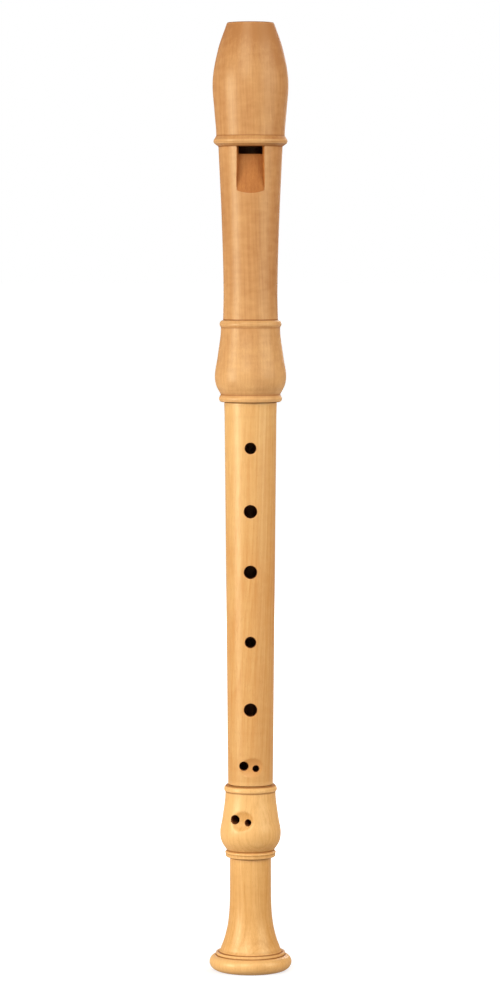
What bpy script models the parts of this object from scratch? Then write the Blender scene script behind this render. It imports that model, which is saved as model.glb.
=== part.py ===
"""Alto recorder: three turned wooden joints, the cedar block of its whistle head and two corked tenons.

The recorder stands on its bell with the blowing end up. Its axis is +Z, the foot's end lies at
height 0, and the window and the finger holes face -Y. A piece is turned from an outline of radii and
heights, and what isn't round, such as the windway, the lip and the beak, is cut afterwards.
"""

import math

import bmesh
import bpy
from mathutils import Matrix, Vector

# Sizes in metres, radii for what is round

FACETS = 40  # sides of a turned piece
SEAT_GAP = 0.0003  # between two pieces that rest on each other
RUNNING_GAP = 0.00025  # between a cork band and the socket it turns in

# Foot joint, from the bell up
BELL_REST_R = 0.0160  # flat ring that it stands on
BELL_RIM_R = 0.02085
BELL_RIM_LOW_H = 0.0043  # under the widest line of the rim
BELL_RIM_HIGH_H = 0.0036
BELL_FILLET_R = 0.0175
BELL_FILLET_H = 0.0015
BELL_STEP = 0.0013  # from the fillet in to the flare
FLARE_CURL_R = 0.0154
FLARE_CURL_H = 0.0012
FLARE_FOOT_R = 0.01475
FLARE_FOOT_H = 0.0017
FLARE_LOW_R = 0.0134
FLARE_LOW_H = 0.0035
FLARE_HIGH_R = 0.0113
FLARE_HIGH_H = 0.0094
STEM_R = 0.01046
STEM_FLARE_H = 0.0198
STEM_H = 0.0125
FOOT_RING_R = 0.01268
FOOT_RING_LOW_H = 0.0013
FOOT_RING_EDGE_R = 0.01282
FOOT_RING_BAND_H = 0.0020
FOOT_RING_HIGH_H = 0.0009
FOOT_NECK_R = 0.01205
FOOT_SHOULDER_R = 0.01475
FOOT_SHOULDER_H = 0.0045
FOOT_BULGE_R = 0.01538
FOOT_BULGE_H = 0.0050
FOOT_TAPER_R = 0.0143
FOOT_TAPER_H = 0.0065
FOOT_THROAT_R = 0.01272
FOOT_THROAT_H = 0.0141
FOOT_BEAD_R = 0.0134
FOOT_BEAD_LOW_H = 0.0010
FOOT_BEAD_EDGE_R = 0.0133
FOOT_BEAD_BAND_H = 0.0010
FOOT_BEAD_HIGH_H = 0.0013
FOOT_TOP_R = 0.0123
FOOT_TWIST = math.radians(-19)  # its holes stand turned to meet the little finger

# Middle joint
MIDDLE_TOP_R = 0.0133
MIDDLE_UPPER_R = 0.0131  # where its straight taper starts, below the short flare at the top
MIDDLE_FLARE_H = 0.0065
MIDDLE_LOW_R = 0.01138
FIRST_HOLE_DROP = 0.0226  # from the upper shoulder down to hole 1
HOLE_SPACING = (0.0319, 0.0306, 0.0355, 0.0343, 0.0293)  # hole 1 to 2, and on to hole 6
LAST_HOLE_RISE = 0.0096  # from the lower shoulder up to hole 6
THUMB_RISE = 0.0115  # from hole 1 up to the thumb hole

# Finger holes
HOLE_RADII = (0.00285, 0.0033, 0.00328, 0.00278, 0.00328)  # holes 1 to 5
THUMB_R = 0.0029
WIDE_TWIN_R = 0.0023
SLIM_TWIN_R = 0.00168
MIDDLE_TWIN_LAND = 0.00206  # wood between the two holes of a pair
FOOT_TWIN_LAND = 0.00286
TWIN_DROP = 0.0013  # the slim hole lies this much lower
SCOOP_DEPTH = 0.0013  # of the hollow that a pair of holes lies in
SCOOP_H = 0.0096
SCOOP_SPREAD = 0.0026  # to each side, round the joint
SCOOP_SHIFT = 0.0006  # towards the slim hole
SCOOP_STAGGER = 0.0005
UNDERCUT = 0.0004  # how much wider the radius of holes 1 to 5 is at the bore
FOOT_HOLE_DROP = 0.0038  # from the bottom of the foot's socket down to hole 7

# Bore
HEAD_BORE_R = 0.0095
MIDDLE_BORE_TOP_R = 0.0092
MIDDLE_BORE_LOW_R = 0.0073
FOOT_BORE_TOP_R = 0.0069
FOOT_BORE_LOW_R = 0.0062
BELL_MOUTH_R = 0.0080
BELL_MOUTH_H = 0.0050

# Tenons, corks and sockets
TENON_WALL = 0.0014  # wood left between the bore and the groove of the cork
CORK_THICKNESS = 0.00095
CORK_PROUD = 0.00015  # how far the cork stands out of its groove
UPPER_TENON_H = 0.0240
LOWER_TENON_H = 0.0132
UPPER_CORK_MARGIN = 0.0035  # wood left at each end of the groove
LOWER_CORK_MARGIN = 0.0023
TENON_CHAMFER = 0.0004
TENON_END_GAP = 0.0005  # from a tenon's end to the bottom of its socket

# Head joint, from its lower end up
HEAD_END_R = 0.0146
END_BEAD_R = 0.0159
END_BEAD_LOW_H = 0.0017
END_BEAD_BAND_H = 0.0005
END_BEAD_HIGH_H = 0.0015
HEAD_NECK_R = 0.0151
SOCKET_COVE_R = 0.0171
SOCKET_COVE_H = 0.0041
SOCKET_BULGE_R = 0.0180
SOCKET_BULGE_H = 0.0052
SOCKET_TAPER_R = 0.0166
SOCKET_TAPER_H = 0.0099
SOCKET_THROAT_R = 0.01493
SOCKET_THROAT_H = 0.0146
WAIST_BEAD_R = 0.0156
WAIST_BEAD_LOW_H = 0.0014
WAIST_BEAD_BAND_H = 0.0004
WAIST_BEAD_HIGH_H = 0.0020
WAIST_LOW_R = 0.01384
WAIST_R = 0.0136
WAIST_H = 0.0137
BREAST_R = 0.0145
BREAST_H = 0.0365
WINDOW_R = 0.01615  # outside, at the top of the window
WINDOW_RISE = 0.0370
WINDOW_BEAD_EDGE_R = 0.0183
WINDOW_BEAD_LOW_H = 0.0016
WINDOW_BEAD_R = 0.01864
WINDOW_BEAD_BAND_H = 0.0009
WINDOW_BEAD_TOP_R = 0.0186
WINDOW_BEAD_TOP_H = 0.0006
WINDOW_BEAD_HIGH_H = 0.0023
BULB_LOW_R = 0.01725
BULB_CHEEK_R = 0.0181
BULB_CHEEK_H = 0.0119
BULB_R = 0.01908
BULB_H = 0.0135
CROWN_R = 0.0162
CROWN_H = 0.0182
TIP_R = 0.0119
TIP_H = 0.0126
TIP_ROUND = 0.0004

# Windway, lip, block and beak
WINDWAY_HALF_W = 0.0060  # at the window
WINDWAY_FLARE = 0.0003  # how much wider, each side, at the tip
ARCH_R = 0.0200  # windway, lip and ramp are arched alike
ROOF_RISE = 0.0005  # from the bore's wall up to the windway's roof
WINDWAY_H = 0.0009  # at the window
FLOOR_DROP = 0.0008  # how much lower the floor lies at the tip
EXIT_CHAMFER = 0.0006  # where the windway opens into the window
CUT_UP = 0.0039  # height of the window
WINDOW_SPLAY = 0.17  # how far its cheeks lean apart, for each unit outwards
LIP_EDGE = 0.00025  # thickness of the lip's edge over the bore
LIP_INSET = 0.0001  # from the bore's wall down to the lip's arched underside
LIP_RELIEF_H = 0.0120  # how far down the underside is cut back
LIP_RELIEF_DROP = 0.0015  # how far it runs out below the bore's wall there
RAMP_H = 0.0196
RAMP_HALF_W = 0.0070  # at its lower end
BLOCK_TAPER = 0.00025  # how much wider the block and its bore are at the tip
BEAK_LIP = 0.0010  # wood left behind the axis at the tip
BEAK_H = 0.0370
BEAK_HOLLOW = 0.0042  # depth of the curve that the beak is cut to

# Steps of the curves
QUARTER_STEPS = 3
FLOW_STEPS = 4
ARCH_STEPS = 8
HOLE_SIDES = 20
BLOCK_STEPS = 30
BEAK_STEPS = 10
BEYOND = 0.004  # how far a cutter reaches past what it cuts
OVERRUN = 1.3  # the ramp's cutter runs on for this many heights of the ramp
SHARP = math.radians(35)  # edges that turn more than this look crisp

# What follows from the sizes
FOOT_H = (
    BELL_RIM_LOW_H + BELL_RIM_HIGH_H + BELL_FILLET_H + FLARE_CURL_H + FLARE_FOOT_H + FLARE_LOW_H
    + FLARE_HIGH_H + STEM_FLARE_H + STEM_H + FOOT_RING_LOW_H + FOOT_RING_BAND_H + FOOT_RING_HIGH_H
    + FOOT_SHOULDER_H + FOOT_BULGE_H + FOOT_TAPER_H + FOOT_THROAT_H
    + FOOT_BEAD_LOW_H + FOOT_BEAD_BAND_H + FOOT_BEAD_HIGH_H
)
MIDDLE_H = FIRST_HOLE_DROP + sum(HOLE_SPACING) + LAST_HOLE_RISE
MIDDLE_Z = FOOT_H + SEAT_GAP
SHOULDER_Z = MIDDLE_Z + MIDDLE_H
HEAD_Z = SHOULDER_Z + SEAT_GAP
WINDOW_Z = HEAD_Z + (
    END_BEAD_LOW_H + END_BEAD_BAND_H + END_BEAD_HIGH_H + SOCKET_COVE_H + SOCKET_BULGE_H
    + SOCKET_TAPER_H + SOCKET_THROAT_H + WAIST_BEAD_LOW_H + WAIST_BEAD_BAND_H + WAIST_BEAD_HIGH_H
    + WAIST_H + BREAST_H + WINDOW_RISE
)
TIP_Z = WINDOW_Z + (
    WINDOW_BEAD_LOW_H + WINDOW_BEAD_BAND_H + WINDOW_BEAD_TOP_H + WINDOW_BEAD_HIGH_H
    + BULB_CHEEK_H + BULB_H + CROWN_H + TIP_H + TIP_ROUND
)
LIP_Z = WINDOW_Z - CUT_UP
ROOF = HEAD_BORE_R + ROOF_RISE  # distances from the axis to the front, at the top of the arch
FLOOR = ROOF - WINDWAY_H
LIP_TOP = HEAD_BORE_R + LIP_EDGE


def tenon_radii(bore):
    """A tenon, its cork and its socket all follow from the bore inside them."""
    groove = bore + TENON_WALL
    cork = groove + SEAT_GAP + CORK_THICKNESS
    return {
        "groove": groove,
        "cork_in": groove + SEAT_GAP,
        "cork_out": cork,
        "wood": cork - CORK_PROUD,
        "socket": cork + RUNNING_GAP,
    }


UPPER = tenon_radii(MIDDLE_BORE_TOP_R)
LOWER = tenon_radii(MIDDLE_BORE_LOW_R)


def clear_scene():
    for item in list(bpy.data.objects):
        bpy.data.objects.remove(item)


def finish(name, colour, roughness):
    """A plain material in a piece's own colour."""
    made = bpy.data.materials.new(name)
    made.use_nodes = True
    shader = made.node_tree.nodes["Principled BSDF"]
    shader.inputs["Base Color"].default_value = (*colour, 1)
    shader.inputs["Roughness"].default_value = roughness
    shader.inputs["Metallic"].default_value = 0
    return made


def object_from(name, bm, material=None):
    """An object of the mesh in bm, with its faces pointing out."""
    bmesh.ops.recalc_face_normals(bm, faces=bm.faces)
    if bm.calc_volume(signed=True) < 0:
        bmesh.ops.reverse_faces(bm, faces=bm.faces)
    mesh = bpy.data.meshes.new(name)
    bm.to_mesh(mesh)
    bm.free()
    if material:
        mesh.materials.append(material)
    made = bpy.data.objects.new(name, mesh)
    bpy.context.scene.collection.objects.link(made)
    return made


class Outline:
    """Points of a turned surface, as radius and height, followed up along the axis."""

    def __init__(self, radius, height=0.0):
        self.points = [(radius, height)]

    def to(self, radius, rise=0.0):
        """Straight on to a radius."""
        self.points.append((radius, self.points[-1][1] + rise))
        return self

    def swell(self, radius, rise):
        """A quarter of an ellipse that ends along the axis, like the lower half of a bead."""
        start, height = self.points[-1]
        for step in range(1, QUARTER_STEPS + 1):
            turn = math.pi / 2 * step / QUARTER_STEPS
            bow = start + (radius - start) * math.sin(turn)
            self.points.append((bow, height + rise * (1 - math.cos(turn))))
        return self

    def fall(self, radius, rise):
        """A quarter of an ellipse that starts along the axis, like the upper half of a bead."""
        start, height = self.points[-1]
        for step in range(1, QUARTER_STEPS + 1):
            turn = math.pi / 2 * step / QUARTER_STEPS
            bow = radius + (start - radius) * math.cos(turn)
            self.points.append((bow, height + rise * math.sin(turn)))
        return self

    def flow(self, *stations, from_level=False, to_level=False):
        """One smooth curve through stations of radius and rise. A level end runs along the axis."""
        knots = [self.points[-1]]
        for radius, rise in stations:
            knots.append((radius, knots[-1][1] + rise))
        leans = [(b[0] - a[0]) / (b[1] - a[1]) for a, b in zip(knots, knots[1:])]
        slopes = [leans[0], *((a + b) / 2 for a, b in zip(leans, leans[1:])), leans[-1]]
        if from_level:
            slopes[0] = 0.0
        if to_level:
            slopes[-1] = 0.0
        for index, (low, high) in enumerate(zip(knots, knots[1:])):
            rise = high[1] - low[1]
            for step in range(1, FLOW_STEPS + 1):
                t = step / FLOW_STEPS
                radius = low[0] + (3 * t**2 - 2 * t**3) * (high[0] - low[0])
                radius += (t**3 - 2 * t**2 + t) * rise * slopes[index]
                radius += (t**3 - t**2) * rise * slopes[index + 1]
                self.points.append((radius, low[1] + rise * t))
        return self


def surface_at(points, height):
    """Radius of an outline at a height, and how fast it grows upwards."""
    for (low_r, low), (high_r, high) in zip(points, points[1:]):
        if low <= height < high:
            lean = (high_r - low_r) / (high - low)
            return low_r + lean * (height - low), lean
    return points[-1][0], 0.0


def turned(name, points, material):
    """A ring turned from a closed outline of radii and heights."""
    bm = bmesh.new()
    corners = [bm.verts.new((radius, 0, height)) for radius, height in points]
    edges = [bm.edges.new(pair) for pair in zip(corners, corners[1:] + corners[:1])]
    bmesh.ops.spin(
        bm, geom=corners + edges, cent=(0, 0, 0), axis=(0, 0, 1), angle=math.tau,
        steps=FACETS, use_merge=True,
    )
    return object_from(name, bm, material)


def lofted(name, rings, material=None):
    """A solid through rings of the same number of points, with both ends closed."""
    bm = bmesh.new()
    loops = [[bm.verts.new(point) for point in ring] for ring in rings]
    for low, high in zip(loops, loops[1:]):
        for index in range(len(low)):
            after = (index + 1) % len(low)
            bm.faces.new((low[index], low[after], high[after], high[index]))
    bm.faces.new(loops[0])
    bm.faces.new(loops[-1])
    return object_from(name, bm, material)


def carve(body, cutter):
    """Cuts a second solid out of a body. The cutter is then done with."""
    cutter.hide_render = True
    cutter.display_type = "WIRE"
    cut = body.modifiers.new(cutter.name, "BOOLEAN")
    cut.operation = "DIFFERENCE"
    cut.solver = "EXACT"
    cut.object = cutter
    graph = bpy.context.evaluated_depsgraph_get()
    shaped = bpy.data.meshes.new_from_object(body.evaluated_get(graph), depsgraph=graph)
    body.modifiers.clear()
    body.data = shaped
    bpy.data.objects.remove(cutter)


def settle(piece, height, parent):
    """Moves a piece's origin up the axis to a height, smooths its round sides and sets its parent."""
    piece.data.transform(Matrix.Translation((0, 0, -height)))
    piece.data.shade_smooth()
    piece.data.set_sharp_from_angle(angle=SHARP)
    piece.parent = parent
    piece.location.z = height - (parent.matrix_world.translation.z if parent else 0)
    bpy.context.view_layer.update()


# Finger holes


def drill(height, radius, bore, surface, turn=0.0, aside=0.0, undercut=0.0):
    """Cutter of a tone hole, square to the axis. It can pass to one side of the joint's middle, and
    be wider at the bore than outside."""
    start = bore / 3
    end = surface + BEYOND
    widening = undercut / (surface - bore)
    bm = bmesh.new()
    bmesh.ops.create_cone(
        bm, cap_ends=True, segments=HOLE_SIDES, depth=end - start,
        radius1=radius + widening * (surface - start), radius2=radius - widening * BEYOND,
    )
    half_side = Matrix.Rotation(math.pi / HOLE_SIDES, 4, "Z")
    outward = Matrix.Rotation(math.pi / 2, 4, "X") @ half_side
    place = Matrix.Translation((aside, -(start + end) / 2, height))
    bm.transform(Matrix.Rotation(turn, 4, "Z") @ place @ outward)
    return object_from("drill", bm)


def scoop(height, surface, lean):
    """Cutter of the hollow round a pair of holes: a ball carried round the joint, as one hull."""
    ball = ((SCOOP_H / 2) ** 2 + SCOOP_DEPTH**2) / (2 * SCOOP_DEPTH)
    bm = bmesh.new()
    for side in (-1, 0, 1):
        turn = (SCOOP_SHIFT + side * SCOOP_SPREAD) / surface
        out = ball - SCOOP_DEPTH
        place = Vector((0, -surface - out, height - side * SCOOP_STAGGER - lean * out))
        bmesh.ops.create_uvsphere(
            bm, u_segments=HOLE_SIDES, v_segments=HOLE_SIDES // 2, radius=ball,
            matrix=Matrix.Rotation(turn, 4, "Z") @ Matrix.Translation(place),
        )
    bmesh.ops.delete(bm, geom=bm.edges, context="EDGES_FACES")
    hull = bmesh.ops.convex_hull(bm, input=bm.verts)
    inner = {item for item in hull["geom_interior"] + hull["geom_unused"] if item.is_valid}
    bmesh.ops.delete(bm, geom=list(inner), context="VERTS")
    return object_from("scoop", bm)


def pair_of_holes(body, height, land, bore, outside):
    """A wide and a slim hole side by side in one scooped hollow."""
    surface, lean = surface_at(outside, height)
    floor = surface - SCOOP_DEPTH
    wide = -land / 2 - WIDE_TWIN_R
    slim = land / 2 + SLIM_TWIN_R
    carve(body, scoop(height, surface, lean))
    carve(body, drill(height + TWIN_DROP / 2, WIDE_TWIN_R, bore, floor, aside=wide))
    carve(body, drill(height - TWIN_DROP / 2, SLIM_TWIN_R, bore, floor, aside=slim))


# The three joints and the corks


def foot_joint(wood):
    outside = (
        Outline(BELL_REST_R)
        .swell(BELL_RIM_R, BELL_RIM_LOW_H)
        .fall(BELL_FILLET_R, BELL_RIM_HIGH_H)
        .to(BELL_FILLET_R, BELL_FILLET_H)
        .to(BELL_FILLET_R - BELL_STEP)
        .flow(
            (FLARE_CURL_R, FLARE_CURL_H), (FLARE_FOOT_R, FLARE_FOOT_H), (FLARE_LOW_R, FLARE_LOW_H),
            (FLARE_HIGH_R, FLARE_HIGH_H), (STEM_R, STEM_FLARE_H), to_level=True,
        )
        .to(STEM_R, STEM_H)
        .swell(FOOT_RING_R, FOOT_RING_LOW_H)
        .to(FOOT_RING_EDGE_R, FOOT_RING_BAND_H)
        .to(FOOT_NECK_R, FOOT_RING_HIGH_H)
        .flow(
            (FOOT_SHOULDER_R, FOOT_SHOULDER_H), (FOOT_BULGE_R, FOOT_BULGE_H),
            (FOOT_TAPER_R, FOOT_TAPER_H), (FOOT_THROAT_R, FOOT_THROAT_H), to_level=True,
        )
        .swell(FOOT_BEAD_R, FOOT_BEAD_LOW_H)
        .to(FOOT_BEAD_EDGE_R, FOOT_BEAD_BAND_H)
        .to(FOOT_TOP_R, FOOT_BEAD_HIGH_H)
        .points
    )
    socket_floor = MIDDLE_Z - LOWER_TENON_H - TENON_END_GAP
    inside = (
        Outline(BELL_MOUTH_R)
        .fall(FOOT_BORE_LOW_R, BELL_MOUTH_H)
        .to(FOOT_BORE_TOP_R, socket_floor - BELL_MOUTH_H)
        .to(LOWER["socket"])
        .to(LOWER["socket"], FOOT_H - socket_floor)
        .points
    )
    foot = turned("foot_joint", outside + inside[::-1], wood)
    pair_of_holes(foot, socket_floor - FOOT_HOLE_DROP, FOOT_TWIN_LAND, FOOT_BORE_TOP_R, outside)
    return foot


def tenon(radii, height, margin):
    """Outline of a tenon from its free end to the shoulder, with the groove of its cork."""
    wood, groove = radii["wood"], radii["groove"]
    return (
        Outline(wood - TENON_CHAMFER)
        .to(wood, TENON_CHAMFER)
        .to(wood, margin - TENON_CHAMFER)
        .to(groove)
        .to(groove, height - 2 * margin)
        .to(wood)
        .to(wood, margin)
        .points
    )


def middle_joint(wood):
    bottom = MIDDLE_Z - LOWER_TENON_H
    top = SHOULDER_Z + UPPER_TENON_H
    lower = [(r, bottom + h) for r, h in tenon(LOWER, LOWER_TENON_H, LOWER_CORK_MARGIN)]
    upper = [(r, top - h) for r, h in tenon(UPPER, UPPER_TENON_H, UPPER_CORK_MARGIN)]
    body = (
        Outline(MIDDLE_LOW_R, MIDDLE_Z)
        .to(MIDDLE_UPPER_R, MIDDLE_H - MIDDLE_FLARE_H)
        .flow((MIDDLE_TOP_R, MIDDLE_FLARE_H))
        .points
    )
    bore = [(MIDDLE_BORE_LOW_R, bottom), (MIDDLE_BORE_TOP_R, top)]
    middle = turned("middle_joint", lower + body + upper[::-1] + bore[::-1], wood)

    height = SHOULDER_Z - FIRST_HOLE_DROP
    holes = [(height + THUMB_RISE, THUMB_R, math.pi)]
    for radius, spacing in zip(HOLE_RADII, HOLE_SPACING):
        holes.append((height, radius, 0.0))
        height -= spacing
    for level, radius, turn in holes:
        near, _ = surface_at(bore, level)
        far, _ = surface_at(body, level)
        carve(middle, drill(level, radius, near, far, turn, undercut=UNDERCUT))
    near, _ = surface_at(bore, height)
    pair_of_holes(middle, height, MIDDLE_TWIN_LAND, near, body)
    return middle


def cork_band(name, radii, low, height, cork):
    inner, outer = radii["cork_in"], radii["cork_out"]
    top = low + height
    return turned(name, [(outer, low), (outer, top), (inner, top), (inner, low)], cork)


# Head joint and block


def arch_drop(x):
    """How far an arched surface falls away from its middle line at a distance x to the side."""
    return ARCH_R - math.sqrt(ARCH_R**2 - x**2)


def arched_line(distance, half, height, way=1):
    """Points across an arched surface at the front of the head, from one side to the other."""
    line = []
    for step in range(ARCH_STEPS + 1):
        x = way * half * (2 * step / ARCH_STEPS - 1)
        line.append((x, arch_drop(x) - distance, height))
    return line


def arched_bar(name, *stations):
    """Cutter along the front of the head. A station holds its height, how far the inner and the
    outer surface lie from the axis, and half the width of each."""
    rings = []
    for height, inner, outer, inner_half, outer_half in stations:
        ring = arched_line(inner, inner_half, height) + arched_line(outer, outer_half, height, -1)
        rings.append(ring)
    return lofted(name, rings)


def windway_half_w(height):
    return WINDWAY_HALF_W + WINDWAY_FLARE * (height - WINDOW_Z) / (TIP_Z - WINDOW_Z)


def windway_slot():
    """The slot of the windway and of the lower part of the window, open to the bore."""
    inner = HEAD_BORE_R / 2
    end = TIP_Z + BEYOND
    stations = (
        (LIP_Z, ROOF + EXIT_CHAMFER, WINDWAY_HALF_W),
        (WINDOW_Z, ROOF + EXIT_CHAMFER, WINDWAY_HALF_W),
        (WINDOW_Z + EXIT_CHAMFER, ROOF, windway_half_w(WINDOW_Z + EXIT_CHAMFER)),
        (end, ROOF, windway_half_w(end)),
    )
    return arched_bar("windway", *((z, inner, roof, half, half) for z, roof, half in stations))


def window_and_ramp(outside):
    """The window's splayed upper part and the ramp, which runs out at the surface."""
    ramp_end, _ = surface_at(outside, LIP_Z - RAMP_H)
    outer = WINDOW_BEAD_R + BEYOND
    stations = (
        (WINDOW_Z, LIP_TOP, WINDWAY_HALF_W),
        (LIP_Z, LIP_TOP, WINDWAY_HALF_W),
        (
            LIP_Z - RAMP_H * OVERRUN,
            LIP_TOP + (ramp_end - LIP_TOP) * OVERRUN,
            WINDWAY_HALF_W + (RAMP_HALF_W - WINDWAY_HALF_W) * OVERRUN,
        ),
    )
    bars = []
    for height, inner, half in stations:
        bars.append((height, inner, outer, half, half + WINDOW_SPLAY * (outer - inner)))
    return arched_bar("ramp", *bars)


def lip_relief():
    """What is cut from under the lip, so that it has one thickness along its arch."""
    top = HEAD_BORE_R - LIP_INSET
    low = top - LIP_RELIEF_DROP
    inner = HEAD_BORE_R / 2
    half = WINDWAY_HALF_W
    return arched_bar(
        "relief",
        (LIP_Z + CUT_UP / 2, top, inner, half, half),
        (LIP_Z, top, inner, half, half),
        (LIP_Z - LIP_RELIEF_H, low, inner, half, half),
    )


def beak_cutter():
    """What is cut away behind the mouthpiece: a slab with a round front, drawn from the side."""
    tip = Vector((BEAK_LIP, TIP_Z))
    heel = Vector((BULB_R + BEYOND, TIP_Z - BEAK_H))
    chord = heel - tip
    inward = Vector((chord.y, -chord.x)).normalized()
    line = [tip - chord.normalized() * BEYOND]
    for step in range(BEAK_STEPS + 1):
        t = step / BEAK_STEPS
        line.append(tip + chord * t + inward * BEAK_HOLLOW * 4 * t * (1 - t))
    line.append(Vector((heel.x + BEYOND, heel.y)))
    line.append(Vector((heel.x + BEYOND, TIP_Z + 2 * BEYOND)))
    half = BULB_R + BEYOND
    rings = [[(x, back, height) for back, height in line] for x in (-half, half)]
    return lofted("beak", rings)


def head_joint(wood):
    outside = (
        Outline(HEAD_END_R, HEAD_Z)
        .swell(END_BEAD_R, END_BEAD_LOW_H)
        .to(END_BEAD_R, END_BEAD_BAND_H)
        .to(HEAD_NECK_R, END_BEAD_HIGH_H)
        .flow((SOCKET_COVE_R, SOCKET_COVE_H), (SOCKET_BULGE_R, SOCKET_BULGE_H), to_level=True)
        .flow(
            (SOCKET_TAPER_R, SOCKET_TAPER_H), (SOCKET_THROAT_R, SOCKET_THROAT_H),
            from_level=True, to_level=True,
        )
        .to(WAIST_BEAD_R, WAIST_BEAD_LOW_H)
        .to(WAIST_BEAD_R, WAIST_BEAD_BAND_H)
        .fall(WAIST_LOW_R, WAIST_BEAD_HIGH_H)
        .flow((WAIST_R, WAIST_H), (BREAST_R, BREAST_H), (WINDOW_R, WINDOW_RISE))
        .to(WINDOW_BEAD_EDGE_R, WINDOW_BEAD_LOW_H)
        .to(WINDOW_BEAD_R, WINDOW_BEAD_BAND_H)
        .to(WINDOW_BEAD_TOP_R, WINDOW_BEAD_TOP_H)
        .to(BULB_LOW_R, WINDOW_BEAD_HIGH_H)
        .flow((BULB_CHEEK_R, BULB_CHEEK_H), (BULB_R, BULB_H), from_level=True, to_level=True)
        .flow((CROWN_R, CROWN_H), (TIP_R, TIP_H), from_level=True)
        .to(TIP_R - TIP_ROUND, TIP_ROUND)
        .points
    )
    socket_floor = SHOULDER_Z + UPPER_TENON_H + TENON_END_GAP
    inside = (
        Outline(UPPER["socket"], HEAD_Z)
        .to(UPPER["socket"], socket_floor - HEAD_Z)
        .to(HEAD_BORE_R)
        .to(HEAD_BORE_R, WINDOW_Z - socket_floor)
        .to(HEAD_BORE_R + BLOCK_TAPER, TIP_Z - WINDOW_Z)
        .points
    )
    head = turned("head_joint", outside + inside[::-1], wood)
    for cutter in (windway_slot(), window_and_ramp(outside), lip_relief(), beak_cutter()):
        carve(head, cutter)
    return head


def block_ring(height, floor, radius):
    """Cross-section of the block: a round plug, with the windway's arched floor on its front."""
    half = windway_half_w(height) - SEAT_GAP
    start = math.asin(half / radius)
    ring = arched_line(floor, half, height, -1)
    for step in range(BLOCK_STEPS + 1):
        turn = start + (math.tau - 2 * start) * step / BLOCK_STEPS
        ring.append((-radius * math.sin(turn), -radius * math.cos(turn), height))
    return ring


def cedar_block(cedar):
    radius = HEAD_BORE_R - SEAT_GAP
    stations = (
        (WINDOW_Z, FLOOR - EXIT_CHAMFER, radius),
        (WINDOW_Z + EXIT_CHAMFER, FLOOR, radius),
        (TIP_Z, FLOOR - FLOOR_DROP, radius + BLOCK_TAPER),
    )
    block = lofted("block", [block_ring(*station) for station in stations], cedar)
    carve(block, beak_cutter())
    return block


def build():
    clear_scene()
    head_wood = finish("head_wood", (0.62, 0.33, 0.12), 0.42)
    middle_wood = finish("middle_wood", (0.80, 0.49, 0.20), 0.42)
    foot_wood = finish("foot_wood", (0.74, 0.44, 0.16), 0.42)
    cedar = finish("cedar", (0.42, 0.18, 0.08), 0.7)
    cork = finish("cork", (0.50, 0.32, 0.16), 0.9)

    foot = foot_joint(foot_wood)
    settle(foot, 0, None)
    foot.rotation_euler.z = FOOT_TWIST
    middle = middle_joint(middle_wood)
    settle(middle, MIDDLE_Z, None)
    head = head_joint(head_wood)
    settle(head, HEAD_Z, middle)
    block = cedar_block(cedar)
    settle(block, WINDOW_Z, head)

    lower = MIDDLE_Z - LOWER_TENON_H + LOWER_CORK_MARGIN + SEAT_GAP
    lower_h = LOWER_TENON_H - 2 * (LOWER_CORK_MARGIN + SEAT_GAP)
    settle(cork_band("lower_tenon_cork", LOWER, lower, lower_h, cork), lower, middle)
    upper = SHOULDER_Z + UPPER_CORK_MARGIN + SEAT_GAP
    upper_h = UPPER_TENON_H - 2 * (UPPER_CORK_MARGIN + SEAT_GAP)
    settle(cork_band("upper_tenon_cork", UPPER, upper, upper_h, cork), upper, middle)


build()
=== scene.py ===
import math
import bpy
from mathutils import Matrix, Vector
from mathutils.bvhtree import BVHTree


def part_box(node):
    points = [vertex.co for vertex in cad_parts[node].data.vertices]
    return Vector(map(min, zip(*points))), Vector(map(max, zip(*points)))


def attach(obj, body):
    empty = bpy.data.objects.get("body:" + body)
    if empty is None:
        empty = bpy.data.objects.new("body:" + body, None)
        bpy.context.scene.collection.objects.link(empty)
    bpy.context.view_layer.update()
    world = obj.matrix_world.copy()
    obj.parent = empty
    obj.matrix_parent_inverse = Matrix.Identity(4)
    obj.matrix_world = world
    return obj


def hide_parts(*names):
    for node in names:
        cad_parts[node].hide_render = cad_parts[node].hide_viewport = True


# Alto recorder: three turned joints, the cedar block of the whistle head and two corked tenons.
# Lengths are in millimetres. The axis is +Z, and the window and the finger holes face -Y.

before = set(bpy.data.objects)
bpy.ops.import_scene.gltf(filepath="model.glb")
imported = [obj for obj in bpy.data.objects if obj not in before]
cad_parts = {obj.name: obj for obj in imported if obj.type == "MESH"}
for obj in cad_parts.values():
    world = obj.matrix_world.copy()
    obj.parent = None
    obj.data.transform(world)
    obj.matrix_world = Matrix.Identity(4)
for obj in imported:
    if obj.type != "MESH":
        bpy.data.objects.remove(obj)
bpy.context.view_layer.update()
scene = bpy.context.scene
mm = 0.001
print("frame loaded:", sorted(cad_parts))


def heights(node):
    # lowest and highest point of a CAD node
    return [round(corner.z / mm, 2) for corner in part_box(node)]


turning = {
    "sides": 240,
    "quarterSteps": 14,
    "flowSteps": 16,
    "ringStep": 2.5,  # longest straight stretch between two rings
    "dishStep": 0.3,  # the same, where the surface is scooped
    "lastStep": 0.12,  # shortest stretch left at the end
    "softCorner": 0.25,  # rounding of the turned corners, twice that on blunt ones
    "softSteps": 4,
    "softBend": 0.28,  # radians, corners that turn less aren't rounded
    "sharpBend": 1,  # radians, corners that turn less are blunt
    "edgeShare": 0.45,  # of the stretch beside a corner, the most that the corner takes
    "cornerRings": (0.12, 0.28, 0.5, 0.8),  # from a corner
    "cornerBend": 0.12,  # radians, corners that turn less get no such rings
    "skinShare": 0.85,  # of a dish's radius, what lies nearer the axis isn't scooped
    "inwardLean": 0.3,  # faces that look to the axis by more than this have the bore's finish
    "crispAngle": 32,  # degrees, edges that turn more than this look crisp
}


# Outlines, as points of radius and height


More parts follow.
